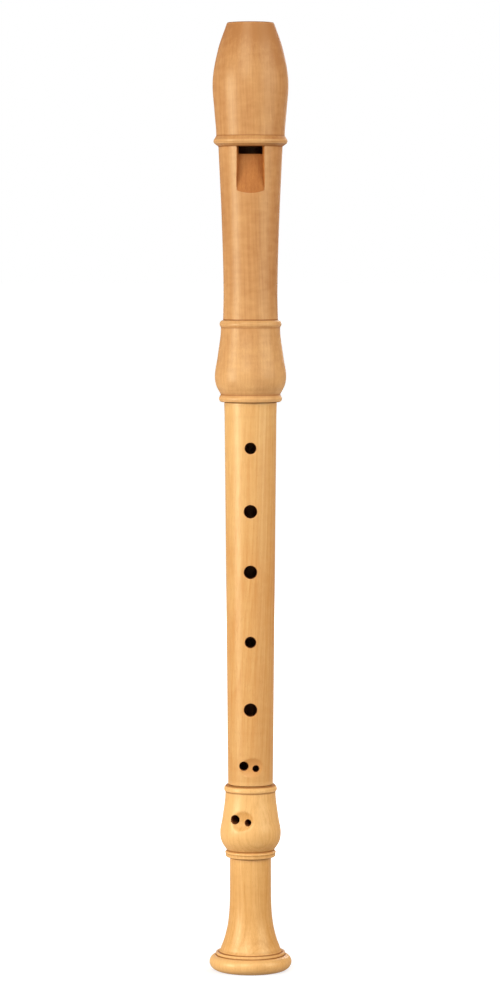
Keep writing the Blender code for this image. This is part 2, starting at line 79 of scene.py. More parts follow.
def followed(start, moves):
    # each move has a kind, a radius and a rise, or is a flow through several of them
    points = [start]
    for kind, *values in moves:
        fromRadius, height = points[-1]
        if kind == "flow":
            points += flowing(points[-1], *values)
            continue
        radius, rise = values
        if kind == "to":
            points.append((radius, height + rise))
            continue
        for step in range(1, turning["quarterSteps"] + 1):
            turn = math.pi / 2 * step / turning["quarterSteps"]
            if kind == "swell":  # quarter of an ellipse that ends along the axis
                bow, climb = math.sin(turn), 1 - math.cos(turn)
            else:  # fall: a quarter that starts along the axis
                bow, climb = 1 - math.cos(turn), math.sin(turn)
            points.append((fromRadius + (radius - fromRadius) * bow, height + rise * climb))
    return points


def flowing(start, levelStart, levelEnd, *stations):
    # one smooth curve through stations of radius and rise; a level end runs along the axis
    knots = [start]
    for radius, rise in stations:
        knots.append((radius, knots[-1][1] + rise))
    leans = [(b[0] - a[0]) / (b[1] - a[1]) for a, b in zip(knots, knots[1:])]
    slopes = [leans[0], *((a + b) / 2 for a, b in zip(leans, leans[1:])), leans[-1]]
    if levelStart:
        slopes[0] = 0
    if levelEnd:
        slopes[-1] = 0
    line = []
    for index, (low, high) in enumerate(zip(knots, knots[1:])):
        rise = high[1] - low[1]
        for step in range(1, turning["flowSteps"] + 1):
            t = step / turning["flowSteps"]
            radius = low[0] + (3 * t**2 - 2 * t**3) * (high[0] - low[0])
            radius += (t**3 - 2 * t**2 + t) * rise * slopes[index]
            radius += (t**3 - t**2) * rise * slopes[index + 1]
            line.append((radius, low[1] + rise * t))
    return line


def radiusAt(points, height):
    for (lowR, low), (highR, high) in zip(points, points[1:]):
        if low <= height < high:
            return lowR + (highR - lowR) * (height - low) / (high - low)
    return points[-1][0] if height >= points[-1][1] else points[0][0]


def refined(points, zones):
    # splits long straight stretches, finely inside the zones of height
    line = [points[0]]
    for (r0, z0), (r1, z1) in zip(points, points[1:]):
        z = z0
        while True:
            inside = any(low < z < high for low, high in zones)
            z += turning["dishStep"] if inside else turning["ringStep"]
            if z >= z1 - turning["lastStep"]:
                break
            line.append((r0 + (r1 - r0) * (z - z0) / (z1 - z0), z))
        line.append((r1, z1))
    return line


def ringed(points):
    # adds rings close to the corners, where the oil and painted shade of the grooves gather
    leans = [math.atan2(b[0] - a[0], b[1] - a[1]) for a, b in zip(points, points[1:])]
    corners = [True, *(abs(b - a) > turning["cornerBend"] for a, b in zip(leans, leans[1:])), True]
    line = []
    for index, (here, there) in enumerate(zip(points, points[1:])):
        span = math.dist(here, there)
        shares = [step / span for step in turning["cornerRings"] if step < turning["edgeShare"] * span]
        places = shares if corners[index] else []
        if corners[index + 1]:
            places = places + [1 - share for share in shares[::-1]]
        line.append(here)
        for share in places:
            line.append((here[0] + (there[0] - here[0]) * share, here[1] + (there[1] - here[1]) * share))
    return line + points[-1:]


def softened(loop):
    # rounds the outer corners of a closed outline, the inner ones stay crisp
    rounded = []
    for index, corner in enumerate(loop):
        here = Vector(corner)
        back = Vector(loop[index - 1]) - here
        ahead = Vector(loop[(index + 1) % len(loop)]) - here
        outer = ahead.x * back.y - ahead.y * back.x > 0
        bend = math.pi - back.angle(ahead)
        if not outer or bend < turning["softBend"]:
            rounded.append(corner)
            continue
        reach = turning["softCorner"] if bend > turning["sharpBend"] else 2 * turning["softCorner"]
        reach = min(reach, turning["edgeShare"] * back.length, turning["edgeShare"] * ahead.length)
        first, last = here + back.normalized() * reach, here + ahead.normalized() * reach
        for step in range(turning["softSteps"] + 1):
            t = step / turning["softSteps"]
            rounded.append(tuple(first * (1 - t) ** 2 + here * 2 * t * (1 - t) + last * t**2))
    return rounded


# Meshes


def newObject(name, verts, faces, finishes):
    mesh = bpy.data.meshes.new(name)
    mesh.from_pydata([tuple(value * mm for value in vert) for vert in verts], [], faces)
    for finish in finishes:
        mesh.materials.append(finish)
    made = bpy.data.objects.new(name, mesh)
    scene.collection.objects.link(made)
    return made


def turnedBody(name, outside, inside, finishes, dish=None):
    loop = softened(outside + inside[::-1])
    sides = turning["sides"]
    skin = turning["skinShare"] * dish["around"] if dish else math.inf
    verts = []
    for radius, height in loop:
        for side in range(sides):
            turn = math.tau * (side + 0.5) / sides
            reach = radius
            if radius > skin:
                reach -= dishDepth(dish, turn + math.pi / 2, height)
            verts.append((reach * math.cos(turn), reach * math.sin(turn), height))
    faces = []
    for ring in range(len(loop)):
        low, high = ring * sides, (ring + 1) % len(loop) * sides
        for side in range(sides):
            after = (side + 1) % sides
            faces.append((low + side, low + after, high + after, high + side))
    body = newObject(name, verts, faces, finishes)
    for face in body.data.polygons:  # the walls of the bore take the second finish
        centre = face.center.xy
        inward = face.normal.xy.dot(centre) < -turning["inwardLean"] * centre.length
        face.material_index = 1 if inward else 0
    return body


def dishDepth(dish, turn, height):
    # hollow with soft edges round a pair of holes; turn is measured from the front
    turn = (turn + math.pi) % math.tau - math.pi
    across = turn * dish["around"] - dish["shift"]
    rise = height - dish["height"]
    lean = math.radians(dish["lean"])
    along = across * math.cos(lean) - rise * math.sin(lean)
    over = across * math.sin(lean) + rise * math.cos(lean)
    fill = 1 - (along / dish["halfWidth"]) ** 2 - (over / dish["halfHeight"]) ** 2
    if fill < -2:  # past the soft edge, where nothing that shows is left
        return 0
    return dish["depth"] * (fill + math.sqrt(fill**2 + dish["softness"] ** 2)) / 2


def dishZone(dish):
    # heights between which the rings lie close together
    return dish["height"] - dish["zone"], dish["height"] + dish["zone"]


def lofted(name, rings, finish):
    # closed solid through rings of points, with its faces turned outwards
    count = len(rings[0])
    verts = [point for ring in rings for point in ring]
    faces = [tuple(range(count))[::-1], tuple(range((len(rings) - 1) * count, len(rings) * count))]
    for ring in range(len(rings) - 1):
        low, high = ring * count, (ring + 1) * count
        for index in range(count):
            after = (index + 1) % count
            faces.append((low + index, low + after, high + after, high + index))
    made = newObject(name, verts, faces, [finish])
    mesh = made.data
    centre = sum((Vector(v.co) for v in mesh.vertices), Vector()) / len(mesh.vertices)
    outward = sum((face.center - centre).dot(face.normal) * face.area for face in mesh.polygons)
    if outward < 0:
        mesh.flip_normals()
    return made


def carve(body, cutters):
    # cuts solids out of a body; the cut faces keep the cutter's finish
    for cutter in cutters:
        cut = body.modifiers.new(cutter.name, "BOOLEAN")
        cut.operation = "DIFFERENCE"
        cut.solver = "EXACT"
        cut.material_mode = "TRANSFER"
        cut.object = cutter
    graph = bpy.context.evaluated_depsgraph_get()
    shaped = bpy.data.meshes.new_from_object(body.evaluated_get(graph), depsgraph=graph)
    body.modifiers.clear()
    body.data = shaped
    for cutter in cutters:
        bpy.data.objects.remove(cutter)


def surfaceTree(body):
    mesh = body.data
    return BVHTree.FromPolygons([v.co for v in mesh.vertices], [tuple(p.vertices) for p in mesh.polygons])


drilling = {
    "sides": 72,
    "rimSteps": 5,
    "proud": 4,  # how far a cutter stands out of the wood
    "clear": 0.01,  # how much wider it is there than the rim
    "far": 60,  # from the axis to where the search for the wood's surface starts
    "boreShare": 1 / 3,  # of the bore's radius, where a cutter ends
}


def holeCircle(hole, turn, radius):
    sideways, up = turn @ Vector((1, 0, 0)), Vector((0, 0, 1))
    circle = []
    for step in range(drilling["sides"]):
        roll = math.tau * (step + 0.5) / drilling["sides"]
        side = hole.get("aside", 0) + radius * math.cos(roll)
        circle.append(sideways * side + up * (hole["height"] + radius * math.sin(roll)))
    return circle


def holeCutter(tree, hole, bore, finish):
    # follows the wood's surface, so that the rounding of the rim is even all round
    turn = Matrix.Rotation(hole.get("turn", 0), 3, "Z")
    outward = turn @ Vector((0, -1, 0))
    rim, clear = hole["rim"], drilling["clear"]
    profile = [(rim + clear, -drilling["proud"]), (rim + clear, -2 * clear)]
    for step in range(1, drilling["rimSteps"] + 1):
        roll = math.pi / 2 * step / drilling["rimSteps"]
        profile.append((rim * (1 - math.sin(roll)), rim * (1 - math.cos(roll))))
    rings = []
    for extra, depth in profile:
        ring = []
        for place in holeCircle(hole, turn, hole["radius"] + extra):
            hit = tree.ray_cast((place + outward * drilling["far"]) * mm, -outward)[0] / mm
            ring.append(hit - outward * depth)
        rings.append(ring)
    end = outward * bore * drilling["boreShare"]
    wide = hole["radius"] + hole.get("undercut", 0)
    rings.append([place + end for place in holeCircle(hole, turn, wide)])
    return lofted("holeCutter", rings, finish)


wearAndShade = {
    "step": 0.1,  # between the heights at which the outline is read
    "window": 5,  # steps to each side that a height is compared with
    "near": 0.4,  # points farther from the outline are walls of a hole or of the bore
    "fullRelief": 0.08,  # depth of a groove or height of a crest that shows most
    "fullHollow": 0.4,  # depth of a dish that shows most
    "dishMargin": 2,  # above and below a dish
}


def markRelief(body, outside, dish=None):
    # relief is above 0 in grooves and below 0 on crests, and hollow is above 0 in the dish
    low, high = outside[0][1], outside[-1][1]
    step, window = wearAndShade["step"], wearAndShade["window"]
    count = int((high - low) / step) + 1
    radii = [radiusAt(outside, low + step * index) for index in range(count)]
    smooth = []
    for index in range(count):
        around = radii[max(0, index - window):index + window + 1]
        smooth.append(sum(around) / len(around))
    relief = body.data.attributes.new("relief", "FLOAT", "POINT")
    hollow = body.data.attributes.new("hollow", "FLOAT", "POINT")
    for index, vertex in enumerate(body.data.vertices):
        radius, height = vertex.co.xy.length / mm, vertex.co.z / mm
        place = min(count - 1, max(0, round((height - low) / step)))
        if abs(radius - radii[place]) < wearAndShade["near"]:
            depth = (smooth[place] - radii[place]) / wearAndShade["fullRelief"]
            relief.data[index].value = max(-1.0, min(1.0, depth))
        if dish and abs(height - dish["height"]) < dish["halfHeight"] + wearAndShade["dishMargin"]:
            depth = (radii[place] - radius) / wearAndShade["fullHollow"]
            hollow.data[index].value = max(0.0, min(1.0, depth))


def settled(piece, body, node):
    piece.data.shade_smooth()
    piece.data.set_sharp_from_angle(angle=math.radians(turning["crispAngle"]))
    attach(piece, body)
    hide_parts(node)
    print(piece.name, "made,", len(piece.data.polygons), "faces")


# Finishes


class Nodes:
    # short way to write a material's nodes

    def __init__(self, name):
        self.material = bpy.data.materials.new(name)
        self.material.use_nodes = True
        self.tree = self.material.node_tree
        self.shader = self.tree.nodes["Principled BSDF"]

    def put(self, socket, value):
        if isinstance(value, bpy.types.NodeSocket):
            self.tree.links.new(value, socket)
        else:
            socket.default_value = value

    def shade(self, **values):
        # Base_Color stands for the socket Base Color
        for key, value in values.items():
            self.put(self.shader.inputs[key.replace("_", " ")], value)

    def add(self, kind, settings=None, **values):
        # in0 stands for the first socket, in6 for the seventh
        node = self.tree.nodes.new("ShaderNode" + kind)
        for key, value in (settings or {}).items():
            setattr(node, key, value)
        for key, value in values.items():
            self.put(node.inputs[int(key[2:])] if key.startswith("in") else node.inputs[key], value)
        return node

    def coordinates(self):
        return self.add("TexCoord").outputs["Object"]

    def maths(self, operation, first, second=0.0, clamp=False):
        node = self.add("Math", {"operation": operation, "use_clamp": clamp}, in0=first, in1=second)
        return node.outputs[0]

    def plus(self, first, second):
        return self.maths("ADD", first, second)

    def minus(self, first, second):
        return self.maths("SUBTRACT", first, second)

    def times(self, first, second):
        return self.maths("MULTIPLY", first, second)

    def noise(self, place, stretch, detail=2.0, roughness=0.5, shift=(0, 0, 0)):
        moved = self.add("Mapping", None, Vector=place, Scale=stretch, Location=shift).outputs[0]
        node = self.add("TexNoise", None, Vector=moved, Scale=1.0, Detail=detail, Roughness=roughness)
        return node.outputs[0]

    def blend(self, share, first, second):
        node = self.add("Mix", {"data_type": "RGBA"}, in0=share, in6=first, in7=second)
        return node.outputs[2]

    def ramp(self, value, stops):
        node = self.add("ValToRGB", None, in0=value)
        elements = node.color_ramp.elements
        while len(elements) < len(stops):
            elements.new(0.5)
        for element, (position, level) in zip(elements, stops):
            element.position = position
            element.color = (level, level, level, 1)
        return node.outputs[0]

    def tones(self, height, stops):
        # runs through pairs of height and tone; 0.5 in the ramp stands for no change
        low, high = stops[0][0], stops[-1][0]
        share = self.maths("DIVIDE", self.minus(height, low), high - low)
        levels = [((place - low) / (high - low), 0.5 + tone) for place, tone in stops]
        return self.minus(self.ramp(share, levels), 0.5)


grain = {
    # noises: their scale across, across and along the grain, their detail and their roughness
    "drift": ((0.035, 0.035, 0.008), 2, 0.5),
    "fibre": ((2.6, 2.6, 0.06), 4, 0.6),
    "streak": ((0.9, 0.9, 0.018), 3, 0.6),
    "patch": ((0.06, 0.06, 0.02), 3, 0.55),
    "curl": ((0.16, 0.16, 0.34), 2, 0.5),
    "speck": ((4.5, 4.5, 0.42), 1, 0.5),
    "specks": ((0.62, 0), (0.74, 1)),  # where that noise becomes specks
    "year": ((0, 0.3), (0.12, 0.0), (0.6, 0.2), (0.9, 1.0), (1, 0.3)),  # tone through a year's ring
    "yearTone": 0.3,  # its usual tone
    "yearScale": 0.22, "yearSpread": 2.5,  # how unevenly the years follow each other
    "sideShadeAt": 0.015,  # metres from the axis, where the painted side shade reaches the look's across
    "endGrainAndShade": ((0.55, 0), (0.98, 1)),  # by how much the surface faces up or down
    "fibreRough": 0.16, "patchRough": 0.12, "grooveRough": 0.12, "crestPolish": 0.25,
    "yearHeight": 0.15, "speckPit": 0.6, "bumpDepth": 0.00004,  # metres
    "falloff": 3.0,  # how fast the gloss goes towards the sides
}


def woodFinish(name, look):
    nodes = Nodes(name)
    metres = nodes.coordinates()
    side = nodes.add("SeparateXYZ", None, Vector=metres).outputs[0]
    place = nodes.add("Mapping", None, Vector=metres, Scale=(1 / mm,) * 3, Rotation=look["lean"]).outputs[0]

    # years' growth: rings round a pith beside the recorder, bent a little along the grain
    drift = nodes.noise(place, *grain["drift"], look["shift"])
    drift = nodes.times(nodes.minus(drift, 0.5), look["waver"])
    axes = nodes.add("SeparateXYZ", None, Vector=place)
    x = nodes.minus(axes.outputs[0], look["pith"][0])
    y = nodes.minus(axes.outputs[1], look["pith"][1])
    away = nodes.maths("SQRT", nodes.plus(nodes.times(x, x), nodes.times(y, y)))
    away = nodes.plus(away, drift)
    spread = nodes.add("CombineXYZ", None, X=nodes.times(away, grain["yearScale"])).outputs[0]
    spread = nodes.times(nodes.noise(spread, (1, 1, 1), 1), grain["yearSpread"])
    phase = nodes.plus(nodes.maths("DIVIDE", away, look["ringWidth"]), spread)
    ring = nodes.ramp(nodes.maths("FRACT", phase), grain["year"])

    kinds = ("fibre", "streak", "patch", "curl", "speck")
    fibre, streak, patch, curl, speck = (nodes.noise(place, *grain[kind], look["shift"]) for kind in kinds)
    speck = nodes.ramp(speck, grain["specks"])

    depth = nodes.times(nodes.minus(ring, grain["yearTone"]), look["ringDepth"])
    for share, value in (
        (look["fibreDepth"], fibre), (look["streakDepth"], streak),
        (look["patchDepth"], patch), (look["curlDepth"], curl),
    ):
        depth = nodes.plus(depth, nodes.times(nodes.minus(value, 0.5), share * 2))
    depth = nodes.plus(depth, nodes.tones(axes.outputs[2], look["tones"]))
    # painted shade: the +X side is darker
    depth = nodes.plus(depth, nodes.times(side, look["across"] / grain["sideShadeAt"]))
    hollow = nodes.add("Attribute", {"attribute_name": "hollow"}).outputs["Fac"]
    depth = nodes.plus(depth, nodes.times(hollow, look["hollowDepth"]))
    depth = nodes.maths("ADD", depth, 0.5, clamp=True)
    colour = nodes.blend(depth, look["light"], look["dark"])
    colour = nodes.blend(nodes.times(speck, look["speckDepth"]), colour, look["speck"])

    # painted shade and oil darken the grooves and the faces that look up or down, and crests are painted
    # paler for wear with a painted highlight
    relief = nodes.add("Attribute", {"attribute_name": "relief"}).outputs["Fac"]
    groove = nodes.maths("MULTIPLY", relief, look["grooveDepth"], clamp=True)
    crest = nodes.maths("MULTIPLY", relief, -look["crestDepth"], clamp=True)
    # painted shade with the end grain's oil: faces that look up or down are darker
    normal = nodes.add("NewGeometry").outputs["Normal"]
    facing = nodes.maths("ABSOLUTE", nodes.add("SeparateXYZ", None, Vector=normal).outputs[2])
    endGrainAndShade = nodes.times(nodes.ramp(facing, grain["endGrainAndShade"]), look["endDepth"])
    colour = nodes.blend(nodes.maths("MAXIMUM", groove, endGrainAndShade), colour, look["oiledAndShaded"])
    # painted highlight with wear: crests are paler
    colour = nodes.blend(crest, colour, look["wearAndHighlight"])

    rough = nodes.times(nodes.minus(fibre, 0.5), grain["fibreRough"])
    rough = nodes.plus(rough, nodes.times(nodes.minus(patch, 0.5), grain["patchRough"]))
    rough = nodes.plus(rough, nodes.times(groove, grain["grooveRough"]))
    rough = nodes.minus(rough, nodes.times(crest, grain["crestPolish"]))
    rough = nodes.plus(rough, look["roughness"])
    height = nodes.plus(fibre, nodes.times(ring, grain["yearHeight"]))
    height = nodes.plus(height, nodes.times(streak, look["ripple"]))
    height = nodes.minus(height, nodes.times(speck, grain["speckPit"]))
    bump = nodes.add("Bump", None, Strength=look["bump"], Distance=grain["bumpDepth"], Height=height)

    # the open grain glances less than a polished surface would
    front = nodes.minus(1.0, nodes.add("LayerWeight", None, Blend=0.5).outputs["Facing"])
    gloss = nodes.times(nodes.maths("POWER", front, grain["falloff"]), look["gloss"])
    nodes.shade(Specular_IOR_Level=look["plainGloss"])  # the plain value stays set under the link, for viewers that drop it
    nodes.shade(Specular_IOR_Level=gloss, Specular_Tint=look["sheen"])
    nodes.shade(Base_Color=colour, Roughness=rough, Normal=bump.outputs[0])
    return nodes.material


def corkFinish(name, look):
    nodes = Nodes(name)
    place = nodes.add("Mapping", None, Vector=nodes.coordinates(), Scale=(1 / mm,) * 3).outputs[0]
    crumb = nodes.noise(place, *look["crumb"])
    cell = nodes.add("TexVoronoi", {"feature": "F1"}, Vector=place, Scale=look["cellScale"]).outputs[0]
    pit = nodes.ramp(nodes.noise(place, *look["pitting"]), look["pits"])
    colour = nodes.blend(nodes.ramp(crumb, look["crumbs"]), look["light"], look["dark"])
    colour = nodes.blend(nodes.times(cell, look["cellDepth"]), colour, look["dark"])
    colour = nodes.blend(nodes.times(pit, look["pitDepth"]), colour, look["pit"])
    height = nodes.minus(nodes.plus(crumb, nodes.times(cell, look["cellHeight"])), pit)
    bump = nodes.add("Bump", None, Strength=look["bump"], Distance=look["bumpDepth"], Height=height)
    nodes.shade(Base_Color=colour, Roughness=look["roughness"], Normal=bump.outputs[0])
    return nodes.material


# colours are linear
honeyWood = {
    "light": (0.7, 0.405, 0.145, 1), "dark": (0.565, 0.25, 0.066, 1),
    "speck": (0.36, 0.13, 0.025, 1), "speckDepth": 0.3,
    # the first colour is oil with painted shade, for grooves and faces that look up or down; the second is
    # crest wear with a painted highlight
    "oiledAndShaded": (0.27, 0.09, 0.018, 1), "wearAndHighlight": (0.88, 0.52, 0.2, 1),
    "lean": (0.012, -0.018, 0.3),  # radians, how the grain leans and its turn round the axis
    "shift": (3.0, 8.0, 2.0),  # of the noises, so that no two joints look alike
    "pith": (38, 52), "waver": 9,  # where the years' rings centre, and how far they stray
    "ringWidth": 2.3, "ringDepth": 0.22, "fibreDepth": 0.5, "streakDepth": 0.4,
    "patchDepth": 0.35, "curlDepth": 0.16,
    # height, and how much darker it is there
    "tones": ((80, 0.0), (110, 0.1), (150, 0.25), (200, 0.22), (250, 0.0), (290, -0.15)),
    "across": 0.2,  # painted shade: how much darker it is on the +X side
    # how strongly the grooves' painted shade, the crests' painted highlight and the up- and down-facing
    # faces' painted shade show, and how much darker the dish is
    "grooveDepth": 0.9, "crestDepth": 0.4, "endDepth": 0.3, "hollowDepth": 0.8,
    "roughness": 0.34, "bump": 0.3, "ripple": 2.6, "gloss": 0.7,
    "plainGloss": 0.4,  # for viewers that don't read the falloff
    "sheen": (1.0, 0.93, 0.62, 1),  # amber oil tints the highlights
}
headLook = {
    **honeyWood, "light": (0.635, 0.335, 0.122, 1), "dark": (0.4, 0.165, 0.05, 1),
    "shift": (31.0, 5.0, 12.0), "lean": (-0.02, 0.03, 1.1), "curlDepth": 0.3, "patchDepth": 0.5,
    "across": 0.1, "ringDepth": 0.12, "fibreDepth": 0.2, "streakDepth": 0.3, "ripple": 1.0, "gloss": 0.55,
    "tones": ((290, -0.3), (330, -0.2), (350, 0.1), (390, 0.25), (415, 0.1), (450, 0.15), (475, 0.6)),
}
footLook = {
    **honeyWood, "light": (0.79, 0.44, 0.155, 1), "dark": (0.59, 0.27, 0.064, 1),
    "shift": (9.0, 41.0, 7.0), "lean": (0.02, 0.01, 2.2),
    "tones": ((0, -0.3), (8, -0.2), (14, 0.1), (40, 0.2), (62, 0.0), (75, -0.4), (95, -0.2)),
}
boreLook = {
    **honeyWood, "light": (0.42, 0.17, 0.06, 1), "dark": (0.22, 0.07, 0.025, 1),
    "speckDepth": 0.4, "roughness": 0.5, "shift": (2.0, 2.0, 31.0),
}
cutLook = {
    **headLook, "light": (0.49, 0.19, 0.047, 1), "dark": (0.33, 0.105, 0.025, 1), "fibreDepth": 0.5,
    "roughness": 0.55, "gloss": 0.25,
}
cedarLook = {
    **honeyWood, "light": (0.50, 0.25, 0.125, 1), "dark": (0.29, 0.115, 0.05, 1),
    "oiledAndShaded": (0.2, 0.07, 0.03, 1), "ringWidth": 0.95, "ringDepth": 0.75, "fibreDepth": 0.6,
    "waver": 3, "endDepth": 0.25, "roughness": 0.7, "gloss": 0.25, "shift": (4.0, 17.0, 5.0),
}
corkLook = {
    "light": (0.60, 0.37, 0.18, 1), "dark": (0.38, 0.20, 0.085, 1), "pit": (0.13, 0.055, 0.025, 1),
    "crumb": ((1.1, 1.1, 0.9), 5, 0.65), "crumbs": ((0.3, 0), (0.7, 1)),
    "pitting": ((1.6, 1.6, 0.7), 2, 0.5, (7, 3, 1)), "pits": ((0.6, 0), (0.68, 1)), "pitDepth": 0.75,
    "cellScale": 1.7, "cellDepth": 0.25, "cellHeight": 0.3,
    "bump": 0.7, "bumpDepth": 0.00012, "roughness": 0.85,
}
middleWood = woodFinish("middleWood", honeyWood)
headWood = woodFinish("headWood", headLook)
footWood = woodFinish("footWood", footLook)
boreWood = woodFinish("boreWood", boreLook)
cutWood = woodFinish("cutWood", cutLook)
cedar = woodFinish("cedar", cedarLook)
corkBand = corkFinish("corkBand", corkLook)
print("finishes made")


# Foot joint

foot = {
    "start": (16.0, heights("foot_joint")[0]),
    "moves": (
        ("swell", 20.85, 4.3), ("fall", 17.5, 3.6), ("to", 17.5, 1.5), ("to", 16.2, 0),  # bell
        ("flow", False, True, (15.4, 1.2), (14.75, 1.7), (13.4, 3.5), (11.3, 9.4), (10.46, 19.8)),
        ("to", 10.46, 12.9), ("swell", 12.6, 0.8), ("to", 12.66, 1.3),
        ("to", 12.88, 0.5), ("to", 12.8, 0.3), ("to", 12.4, 0.4), ("to", 12.05, 0.5),  # ring
        ("flow", False, True, (14.75, 4.5), (15.38, 5.0), (14.3, 6.5), (12.72, 14.1)),
        ("swell", 13.4, 1.0), ("to", 13.3, 1.0), ("to", 12.3, 1.3),  # bead round the socket's mouth
    ),
    "bore": ((8.0, 0.0), (6.2, 5.0), (6.9, 81.7)),  # radii and heights
    "socket": 10.2,  # radius
    "twist": -19,  # degrees, its holes stand turned to meet the little finger
    "dish": {  # the hollow round its holes
        "height": 77.9, "around": 15.2,  # radius of the joint there
        "shift": 0.5, "lean": -9,  # millimetres to the right, and degrees
        "halfWidth": 6.5, "halfHeight": 5.1, "depth": 1.35, "softness": 0.12,
        "zone": 8,  # above and below, with rings close together
    },
    "holes": (
        {"height": 78.55, "aside": -3.73, "radius": 2.3, "rim": 0.16},
        {"height": 77.25, "aside": 3.11, "radius": 1.68, "rim": 0.16},
    ),
}


def makeFoot():
    outside = followed(foot["start"], foot["moves"])
    mouth, (narrow, flare), (wide, floor) = foot["bore"]
    inside = followed(mouth, (
        ("fall", narrow, flare), ("to", wide, floor - flare), ("to", foot["socket"], 0),
        ("to", foot["socket"], outside[-1][1] - floor),
    ))
    dish = foot["dish"]
    rings = refined(ringed(outside), [dishZone(dish)])
    body = turnedBody("footJoint", rings, inside, [footWood, boreWood], dish)
    tree = surfaceTree(body)
    carve(body, [holeCutter(tree, hole, wide, boreWood) for hole in foot["holes"]])
    markRelief(body, outside, dish)
    body.data.transform(Matrix.Rotation(math.radians(foot["twist"]), 4, "Z"))
    settled(body, "foot", "foot_joint")


# Middle joint

middle = {
    "bottom": 95.4, "height": 193.8,  # from the lower tenon's shoulder to the upper one's
    "lowRadius": 11.38, "upperRadius": 13.1, "topRadius": 13.3, "flare": 6.5,
    "bore": (7.3, 9.2),  # radii at the lower and the upper end
    "lowerTenon": {"height": 13.2, "margin": 2.3, "wood": 9.8, "groove": 8.7, "chamfer": 0.4},
    "upperTenon": {"height": 24.0, "margin": 3.5, "wood": 11.7, "groove": 10.6, "chamfer": 0.4},
    "dish": {
        "height": 104.9, "around": 11.45, "shift": 0.6, "lean": -10, "halfWidth": 6.2,
        "halfHeight": 4.8, "depth": 1.3, "softness": 0.12, "zone": 7.5,
    },
    "holes": (
        {"height": 278.1, "radius": 2.9, "rim": 0.35, "undercut": 0.4, "turn": math.pi},  # thumb
        {"height": 266.6, "radius": 2.85, "rim": 0.22, "undercut": 0.4},
        {"height": 234.7, "radius": 3.3, "rim": 0.22, "undercut": 0.4},
        {"height": 204.1, "radius": 3.28, "rim": 0.22, "undercut": 0.4},
        {"height": 168.6, "radius": 2.78, "rim": 0.22, "undercut": 0.4},
        {"height": 134.3, "radius": 3.28, "rim": 0.22, "undercut": 0.4},
        {"height": 105.65, "aside": -3.33, "radius": 2.3, "rim": 0.16},
        {"height": 104.35, "aside": 2.71, "radius": 1.68, "rim": 0.16},
    ),
}
shoulder = middle["bottom"] + middle["height"]


def tenonOutline(tenon):
    # from the free end to the shoulder, with the groove of the cork
    wood, margin, chamfer = tenon["wood"], tenon["margin"], tenon["chamfer"]
    return followed((wood - chamfer, 0), (
        ("to", wood, chamfer), ("to", wood, margin - chamfer), ("to", tenon["groove"], 0),
        ("to", tenon["groove"], tenon["height"] - 2 * margin), ("to", wood, 0), ("to", wood, margin),
    ))


def makeMiddle():
    low = middle["bottom"] - middle["lowerTenon"]["height"]
    top = shoulder + middle["upperTenon"]["height"]
    lower = [(radius, low + rise) for radius, rise in tenonOutline(middle["lowerTenon"])]
    upper = [(radius, top - rise) for radius, rise in tenonOutline(middle["upperTenon"])]
    surface = followed((middle["lowRadius"], middle["bottom"]), (
        ("to", middle["upperRadius"], middle["height"] - middle["flare"]),
        ("flow", False, False, (middle["topRadius"], middle["flare"])),
    ))
    dish = middle["dish"]
    outside = lower + refined(surface, [dishZone(dish)]) + upper[::-1]
    bore = [(middle["bore"][0], low), (middle["bore"][1], top)]
    body = turnedBody("middleJoint", outside, bore, [middleWood, boreWood], dish)
    tree = surfaceTree(body)
    cutters = []
    for hole in middle["holes"]:
        cutters.append(holeCutter(tree, hole, radiusAt(bore, hole["height"]), boreWood))
    carve(body, cutters)
    markRelief(body, outside, dish)
    settled(body, "middle", "middle_joint")


cork = {
    "seat": 0.02,  # between the band and the groove's floor
    "proud": 0.15,  # over the wood
    "gap": 0.1,  # at each end of the groove
}


def makeCork(name, tenon, low, body, node):
    # low is the lower end of the groove
    inner, outer = tenon["groove"] + cork["seat"], tenon["wood"] + cork["proud"]
    high = low + tenon["height"] - 2 * tenon["margin"] - cork["gap"]
    low += cork["gap"]
    outside = refined([(outer, low), (outer, high)], [])
    band = turnedBody(name, outside, [(inner, low), (inner, high)], [corkBand, corkBand])
    settled(band, body, node)


def makeCorks():
    lower, upper = middle["lowerTenon"], middle["upperTenon"]
    lowerGroove = middle["bottom"] - lower["height"] + lower["margin"]
    upperGroove = shoulder + upper["margin"]
    makeCork("lowerCork", lower, lowerGroove, "lower_cork", "lower_tenon_cork")
    makeCork("upperCork", upper, upperGroove, "upper_cork", "upper_tenon_cork")


# Head joint and block

neckTop = 16.15  # radius of the neck under the window bead
head = {
    "start": (14.6, heights("head_joint")[0]),
    "moves": (
        ("swell", 15.9, 1.7), ("to", 15.9, 0.5), ("to", 15.1, 1.5),  # bead at the lower end
        ("flow", True, True, (16.1, 2.1), (17.1, 2.0), (17.78, 2.5), (18.0, 2.7)),
        ("flow", True, True, (16.6, 9.9), (14.93, 14.6)),  # the socket's swelling tapers
        ("to", 15.6, 1.4), ("to", 15.6, 0.4), ("fall", 13.84, 2.0),  # bead over it
        ("flow", False, False, (13.6, 13.7), (14.5, 36.5), (neckTop, 37.0)),
        ("to", 18.3, 1.6), ("to", 18.64, 0.9), ("to", 18.6, 0.6), ("to", 17.25, 2.3),  # window bead
        ("flow", True, True, (18.1, 11.9), (19.08, 13.5)),
        ("flow", True, False, (16.2, 18.2), (11.9, 12.6)), ("to", 11.5, 0.4),
    ),
    "socket": 12.0, "bore": 9.5, "boreAtTip": 9.75,  # radii
    "socketFloor": 313.7, "lip": 414.1, "window": heights("block")[0], "tip": heights("block")[1],
    "windwayHalf": 6.0, "windwayFlare": 0.3,  # half its width, and what that gains up to the tip
    "arch": 20.0,  # radius of the windway's arch
    "roof": 10.0, "floor": 9.1, "floorAtTip": 8.3, "lipTop": 9.75, "underLip": 9.4,  # from the axis
    "chamfer": 0.6, "relief": 1.5, "reliefHeight": 12.0,
    "rampHeight": 19.6, "rampHalf": 7.0, "splay": 0.17, "edge": 0.18,
    "beakLip": 1.0, "beakHeel": 23.08, "beakHeight": 37.0, "beakHollow": 4.2,
}
